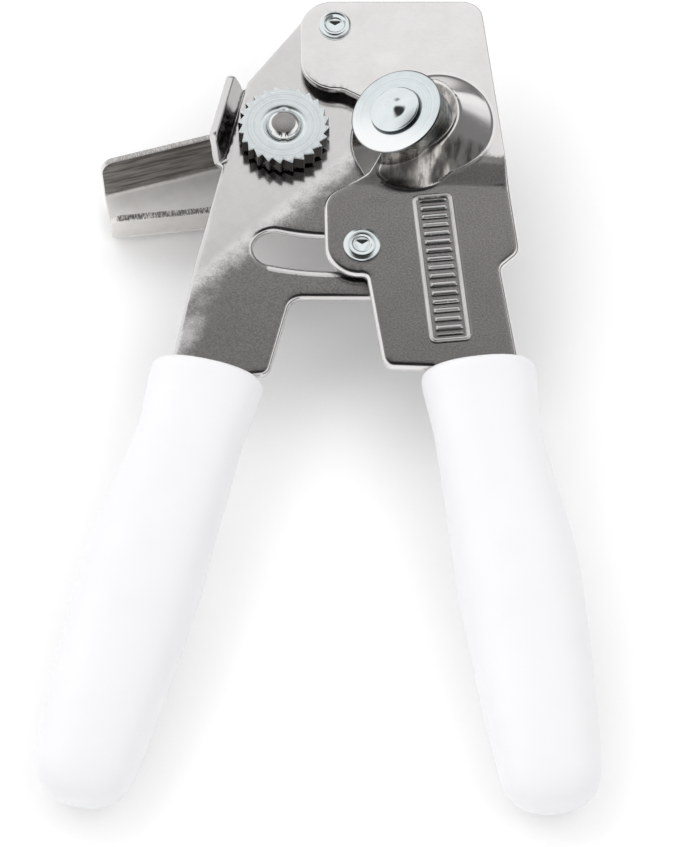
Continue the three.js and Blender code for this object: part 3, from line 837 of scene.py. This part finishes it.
TURNED = [
    # name, body, material, slot, frame, closed, dent, corners
    ("pivot_rivet", "rear_lever", BRIGHT_ZINC, "zinc", Matrix.Identity(4), False, pit(1.3, 0.2), [
        (0, -3.1, 0), (2.2, -3.1, 0.5), (3.5, -2.6, 0.4), (3.5, -1.7, 0.15), (2.3, -1.7, 0.1),
        (2.3, 3.65, 0.1), (3.3, 3.65, 0.15), (3.35, 4.25, 0.3), (2.8, 4.6, 0.3), (2.3, 4.5, 0.2),
        (1.9, 3.95, 0.1)] + floor_rings(3.85)),
    ("pivot_spacer", "rear_lever", ZINC, "zinc", Matrix.Identity(4), True, None, [
        (2.6, 0.3, 0.1), (5.6, 0.3, 0.2), (5.6, 1.7, 0.2), (2.6, 1.7, 0.1)]),
    ("guide_spacer", "front_lever", ZINC, "zinc", GUIDE_FRAME, True, None, [
        (2.9, 0.3, 0.1), (5.2, 0.3, 0.1), (5.2, 0.8, 0.1), (2.9, 0.8, 0.1)]),
    ("guide_bush", "front_lever", ZINC, "zinc", GUIDE_FRAME, True, None, [
        (2.9, -1.9, 0.1), (3.6, -1.9, 0.2), (3.6, 0, 0.2), (2.9, 0, 0.1)]),
    ("guide_rear_washer", "front_lever", ZINC, "zinc", GUIDE_FRAME, True, None, [
        (2.9, -2.7, 0.1), (5.6, -2.7, 0.2), (5.6, -2.0, 0.2), (2.9, -2.0, 0.1)]),
    ("guide_rivet", "front_lever", BRIGHT_ZINC, "zinc", GUIDE_FRAME, False, pit(1.25, 0.16), [
        (0, -4.1, 0), (2.6, -4.1, 0.6), (3.9, -3.6, 0.4), (3.9, -2.8, 0.15), (2.6, -2.8, 0.1),
        (2.6, 2.75, 0.1), (3.8, 2.75, 0.15), (3.85, 3.3, 0.35), (2.9, 3.75, 0.6), (2.1, 3.7, 0.3),
        (1.8, 3.4, 0.1)] + floor_rings(3.35)),
    ("cutter_spring_washer", "front_lever", ZINC, "zinc", CUTTER_FRAME, True, None, [
        (2.9, -3.2, 0.1), (5.4, -3.2, 0.15), (5.4, -2.7, 0.15), (2.9, -2.7, 0.1)]),
    ("cutter_rivet", "front_lever", BRIGHT_ZINC, "polished_steel", CUTTER_FRAME, False, None, [
        (0, -6.7, 0), (2.9, -6.7, 0.6), (3.9, -6.1, 0.4), (3.9, -5.3, 0.15), (2.6, -5.3, 0.1),
        (2.6, 0.06, 0.1), (4.6, 0.06, 0.1), (5.2, 0.45, 0.08), (5.22, 0.84, 0.1),
        (4.98, 0.95, 0.1)] + staked_dome()),
    ("feed_thrust_washer", "drive_train", ZINC, "zinc", FEED_FRAME, True, None, [
        (3.8, 0.25, 0.1), (6.4, 0.25, 0.1), (6.4, 0.65, 0.1), (3.8, 0.65, 0.1)]),
    ("shaft_bushing", "rear_lever", ZINC, "zinc", FEED_FRAME, True, None, [
        (3.8, -10, 0.2), (5, -10, 0.4), (5, -3.2, 0.3), (7, -3.2, 0.3), (7, -1.9, 0.2), (5, -1.9, 0.1),
        (5, -0.05, 0.3), (3.8, -0.05, 0.3)]),
    ("crank_collar", "drive_train", ZINC, "zinc", FEED_FRAME, True, None, [
        (3.8, -18.7, 0.2), (5.4, -18.7, 0.3), (5.4, -10.3, 0.3), (3.8, -10.3, 0.2)]),
    ("drive_shaft", "drive_train", SHAFT, "polished_steel", FEED_FRAME, False, shaft_notch, [
        (0, -21.5, 0), (3.0, -21.5, 0.5), (3.6, -21.0, 0.3), (3.6, -20.35, 0.1), (2.6, -20.35, 0.1),
        (2.6, -18.7, 0.1), (3.5, -18.7, 0.1), (3.5, 4.1, 0.1), (3.1, 4.75, 0.3), (2.45, 5.1, 0.1),
        (0, 5.1, 0)]),
    ("cutter_wheel", "cutter", CUTTER_STEEL, "cutter_steel", CUTTER_FRAME, True, None, [
        (2.9, -2.4, 0.1), (6, -2.4, 0.3), (9.8, -0.34, 0.05), (9.8, -0.15, 0.05), (9.5, 0, 0.1),
        (2.9, 0, 0.1)]),
]
for name, body, material, slot, place, closed, dent, corners in TURNED:
    finish_piece(lathe(name + "_turned", corners, place, closed, dent), body, material, slot, name)


def feed_wheel():
    """Saw teeth with a long rising flank and a steep drop, on a countersunk disc."""
    teeth, tip, root, back, front = 24, 9.4, 8.45, 0.9, 4.4
    pitch = 2 * math.pi / teeth
    marks = [(0.0, root), (0.36, (root + tip) / 2 - 0.08), (0.72, tip), (0.8, tip), (0.97, root)]
    rim = [
        (r * math.cos((k + t) * pitch), r * math.sin((k + t) * pitch))
        for k in range(teeth) for t, r in marks
    ]
    rings = [(4.0, 72), (4.35, 72), (4.75, 72), (5.2, 50), (6.1, 56), (7.0, 64), (7.7, 70)]
    fill = np.vstack([circle(0, 0, radius, count) for radius, count in rings])

    def shape(x, y, depth):
        radius = np.hypot(x, y)
        sink = np.clip((4.4 - radius) / 0.8, 0, 1) * 0.6 * (depth < 0.5)
        notch = 0.35 * (np.abs(x) < 0.6) * (y > 0) * (radius < 4.2) * (depth < 0.5)
        return np.column_stack((x, y, front - depth - sink - notch))

    def roll(i, x, y):
        return (0.12, 0.08)[i]

    loops = [np.array(rim), circle(0, 0, 3.56)]
    return formed_sheet("feed_wheel_toothed", loops, fill, shape, roll, front - back, place=FEED_FRAME)


finish_piece(feed_wheel(), "drive_train", TOOTHED, "zinc", "feed_wheel")


# ------------------------------------------------------------------ crank
def crank():
    """The flat blank of the turning key, folded up along both sides."""
    half, centre_half, tip_half, sheet, inner = 38.0, 9.0, 5.7, 1.3, 0.7
    angle = math.radians(80)
    web_front = -19.0
    corner = (inner + sheet) * math.tan(angle / 2)
    wall = 9.36
    reach = inner * angle + wall - corner
    centre, tip = centre_half + reach, tip_half + reach
    outline = resample(rounded([
        (-half, -tip, 3), (0, -centre, 0), (half, -tip, 3), (half, tip, 3), (0, centre, 0), (-half, tip, 3),
    ]), 1.4)
    hole = resample(rounded([(-2.9, -2.9, 0.4), (2.9, -2.9, 0.4), (2.9, 2.9, 0.4), (-2.9, 2.9, 0.4)]), 1.0)

    def fold_start(x):
        return centre_half - (centre_half - tip_half) * np.hypot(x, 3) / half - corner

    length = np.arange(-half + 1, half, 1.5)
    bands = [grid(-half, half, -17, 17, 1.8)]
    for side in (-1, 1):
        for step in np.linspace(-0.2, inner * angle + 0.2, 7):
            bands.append(np.column_stack((length, side * (fold_start(length) + step))))
    fill = np.vstack(bands)

    def shape(x, y, depth):
        out, height = fold(np.abs(y), depth, fold_start(x), inner, angle)
        return np.column_stack((x, np.sign(y) * out, web_front + height))

    # Finish 1, painted shade, on the inner face of the wall past the fold.
    def painted_shade_face(x, y, depth):
        return smoothstep(y - fold_start(x), 0.4, 1.4) * (depth < 0.1)

    def roll(i, x, y):
        return (0.3, 0.2)[i]

    return formed_sheet("crank_folded", [outline, hole], fill, shape, roll, sheet, painted_shade_face, CRANK_FRAME)


finish_piece(crank(), "drive_train", CRANK_METAL, "crank_plate", "crank")


# ------------------------------------------------------------------ grips
GRIP_LENGTH = 93.3
GRIP_END = 84  # where the rounded end starts
GRIP_STATIONS = [
    # distance from the mouth, half width
    (0.0, 10.95), (1.6, 11.35), (4.5, 11.2), (13.4, 10.5), (28, 11.1), (44.6, 11.95), (63.8, 11.2),
    (80, 10.05), (GRIP_END, 9.65), (86, 9.4), (88, 8.95), (90, 8.0), (91.5, 6.6), (92.5, 4.9), (93.1, 2.7),
    (GRIP_LENGTH, 0.0),
]


def grip(name, top, lean, swell, mouth_x, mouth_half, mouth_low, mouth_high):
    """An oval sleeve that swells outwards at its belly, with a slot for the tang at its top."""
    sides = 72
    rounding = np.sin(np.linspace(0.06, 1, 15) * math.pi / 2)
    along = np.concatenate((np.linspace(1.6, GRIP_END, 44), GRIP_END + (GRIP_LENGTH - GRIP_END) * rounding))
    known = np.array(GRIP_STATIONS)
    widths = smooth_curve(known[:, 0], known[:, 1], along)
    angles = np.arange(sides) * 2 * math.pi / sides
    cos, sin = np.cos(angles), np.sin(angles)
    power = 2 / 2.25
    round_x, round_z = np.sign(cos) * np.abs(cos) ** power, np.sign(sin) * np.abs(sin) ** power

    def section(distance, half):
        shift = swell * float(smoothstep(distance, 12, 46))
        flat = 0.59 + 0.08 * distance / GRIP_END
        height = half * flat
        return np.column_stack((shift + half * round_x, np.full(sides, -distance), height * round_z))

    def slot_ring(distance, grow):
        x = np.clip(cos * 30, -1, 1) * (mouth_half + grow)
        x = mouth_x + np.where(np.abs(cos) > 0.2, x, cos / 0.2 * (mouth_half + grow))
        middle, half = (mouth_low + mouth_high) / 2, (mouth_high - mouth_low) / 2 + grow
        z = middle + np.clip(sin * 5, -1, 1) * half
        return np.column_stack((x, np.full(sides, -distance), z))

    rings = [slot_ring(6, 0), slot_ring(1.1, 0), slot_ring(0.35, 0.25)]
    rim = section(0, 10.2)
    rings += [slot_ring(0.1, 0.25) * (1 - share) + rim * share for share in (0.35, 0.7)]
    rings += [section(d, h) for d, h in ((0.02, 10.2), (0.18, 10.75), (0.6, 11.12), (1.1, 11.3))]
    rings += [section(d, h) for d, h in zip(along, widths)]
    points = np.vstack(rings)
    faces = []
    for k in range(len(rings) - 1):
        for i in range(sides):
            j = (i + 1) % sides
            faces.append((k * sides + i, k * sides + j, (k + 1) * sides + j, (k + 1) * sides + i))
    base = (len(rings) - 1) * sides
    faces.append([base + i for i in range(sides)])
    faces.append([sides - 1 - i for i in range(sides)])
    return make_object(name, points, faces, Matrix.Translation(top) @ Matrix.Rotation(lean, 4, "Z"))


def smooth_curve(x, y, at):
    """Cubic Hermite curve through points, with slopes from their neighbours."""
    slope = np.gradient(y, x)
    k = np.clip(np.searchsorted(x, at) - 1, 0, len(x) - 2)
    width = x[k + 1] - x[k]
    t = (at - x[k]) / width
    return (
        y[k] * (2 * t**3 - 3 * t**2 + 1) + y[k + 1] * (3 * t**2 - 2 * t**3)
        + width * (slope[k] * (t**3 - 2 * t**2 + t) + slope[k + 1] * (t**3 - t**2))
    )


# The left grip leans 1.5 degrees further out than its plain solid in the CAD model.
left = grip("left_grip_moulded", (-24.9, -80.9, -0.5), math.radians(-13.4), -1.35, 0.2, 8.2, -1.4, 0.8)
right = grip("right_grip_moulded", (28.2, -80.9, 0.9), math.radians(7.0), 1.35, -0.4, 8.9, -0.1, 2.1)
finish_piece(left, "rear_lever", VINYL, "white_grip", "left_grip")
finish_piece(right, "front_lever", VINYL, "white_grip", "right_grip")


# ------------------------------------------------------------------ camera, floor and light
def look_at(obj, eye, target, up):
    back = (eye - target).normalized()
    side = up.cross(back).normalized()
    turn = Matrix((side, back.cross(side), back)).transposed().to_4x4()
    obj.matrix_world = Matrix.Translation(eye) @ turn


def to_packed(x, y, z):
    return TOOL @ Vector((x, y, z))


def camera():
    """Looks down at the middle of the tool, from the side of the grips."""
    tilt, distance = math.radians(28), 600
    centre = Vector((0.95, -92.35, 0))
    eye = centre + Vector((0, -math.sin(tilt), math.cos(tilt))) * distance
    data = bpy.data.cameras.new("camera")
    data.sensor_width = 36
    data.lens = 130.06
    data.clip_start, data.clip_end = 0.05, 20
    obj = bpy.data.objects.new("camera", data)
    bpy.context.scene.collection.objects.link(obj)
    up = (TOOL.to_3x3() @ Vector((0, 1, 0))).normalized()
    look_at(obj, to_packed(*eye), to_packed(*centre), up)
    bpy.context.scene.camera = obj


def floor():
    """The white paper that the opener lies on."""
    half = 6.0
    corners = [(-half, -half, 0), (half, -half, 0), (half, half, 0), (-half, half, 0)]
    mesh = bpy.data.meshes.new("floor")
    mesh.from_pydata(corners, [], [(0, 1, 2, 3)])
    obj = bpy.data.objects.new("floor", mesh)
    bpy.context.scene.collection.objects.link(obj)
    m = Nodes("floor_paper")
    m.set(Base_Color=(0.955, 0.955, 0.955, 1), Roughness=0.9, Specular_IOR_Level=0.1)
    m.set(Emission_Color=(1, 1, 1, 1), Emission_Strength=0.055)  # lifts the shadows as a lit backdrop would
    mesh.materials.append(m.material)


def area_light(name, eye, target, size, power):
    """A soft light that brightens the grips and the floor; the metal sees only the world."""
    data = bpy.data.lights.new(name, "AREA")
    data.shape = "RECTANGLE"
    data.size, data.size_y = size
    data.energy = power
    obj = bpy.data.objects.new(name, data)
    bpy.context.scene.collection.objects.link(obj)
    look_at(obj, Vector(eye), Vector(target), Vector((0.01, 0.02, 1)))
    obj.visible_glossy = False


def world():
    """A white studio with a dark zone overhead and round the camera, and a dim flag low on the right."""
    dark, light, flag_share = 0.03, 1.0, 0.2
    sky = bpy.data.worlds.new("studio")
    bpy.context.scene.world = sky
    sky.use_nodes = True
    tree = sky.node_tree
    background = tree.nodes["Background"]

    def node(kind, operation=None, *values):
        made = tree.nodes.new("ShaderNode" + kind)
        if operation:
            made.operation = operation
        for socket, value in zip(made.inputs, values):
            if isinstance(value, bpy.types.NodeSocket):
                tree.links.new(value, socket)
            else:
                socket.default_value = value
        return made

    def ramp(value, low, high, to_low, to_high):
        made = node("MapRange", None, value, low, high, to_low, to_high)
        made.interpolation_type = "SMOOTHSTEP"
        return made.outputs["Result"]

    direction = node("TexCoord").outputs["Generated"]
    x, y, z = node("SeparateXYZ", None, direction).outputs
    off = node("Math", "ADD", y, 0.14).outputs[0]
    squares = [node("Math", "MULTIPLY", value, value).outputs[0] for value in (x, off)]
    spread = node("Math", "SQRT", node("Math", "ADD", *squares).outputs[0]).outputs[0]
    overhead = ramp(spread, 0.38, 0.64, dark, light)
    behind = ramp(node("Math", "ADD", x, y).outputs[0], 0.6, 0.8, 0.0, 1.0)
    aside = node("Math", "MAXIMUM", behind, ramp(x, 0.22, 0.4, 0.0, 1.0)).outputs[0]
    low = node("Math", "MULTIPLY", ramp(z, 0.42, 0.56, 1.0, 0.0), ramp(z, 0.03, 0.1, 0.0, 1.0)).outputs[0]
    flag = ramp(node("Math", "MULTIPLY", aside, low).outputs[0], 0.0, 1.0, 1.0, flag_share)
    strength = node("Math", "MULTIPLY", overhead, flag).outputs[0]
    tree.links.new(strength, background.inputs["Strength"])
    background.inputs["Color"].default_value = (1, 1, 1, 1)


camera()
floor()
world()
middle = to_packed(0, -60, 0)
area_light("key", (-0.55, 0.45, 0.8), middle, (0.9, 0.9), 1.2)
area_light("fill", (0.8, -0.2, 0.9), middle, (1.2, 1.2), 2.2)
area_light("top", (0.05, 0.1, 1.2), middle, (2.6, 2.6), 10.5)
bpy.context.scene.view_settings.view_transform = "Standard"
